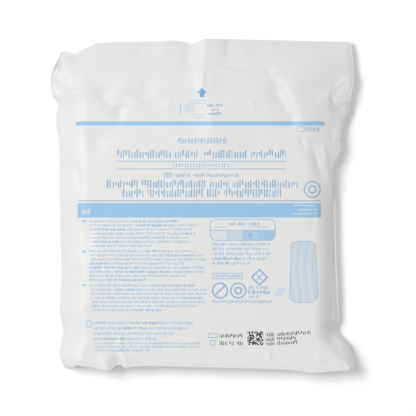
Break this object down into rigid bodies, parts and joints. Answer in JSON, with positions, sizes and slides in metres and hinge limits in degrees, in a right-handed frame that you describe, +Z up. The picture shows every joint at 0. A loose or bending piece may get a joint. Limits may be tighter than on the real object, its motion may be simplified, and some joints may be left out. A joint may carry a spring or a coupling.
{
  "type": "sealed surgical gown pack",
  "caption": "Flat sealed film pouch, fused all round with a peel-open header at one end, holding a folded surgical gown and lying on its plain back.",
  "frame": {"origin": "middle of the pack's outline from above, on the surface that it lies on", "axes": "+X to the right across the printed front, +Y towards the peel-open header, +Z up out of the printed front"},
  "size_m": [0.2601, 0.284, 0.0312],
  "materials": {
    "front_film": "soft white film with a satin sheen, printed pale blue",
    "back_film": "plain white film with a satin sheen",
    "gown_cloth": "matt blue nonwoven"
  },
  "bodies": {
    "root": {"front_web": "front_film", "back_web": "back_film", "folded_gown": "gown_cloth"}
  },
  "joints": []
}
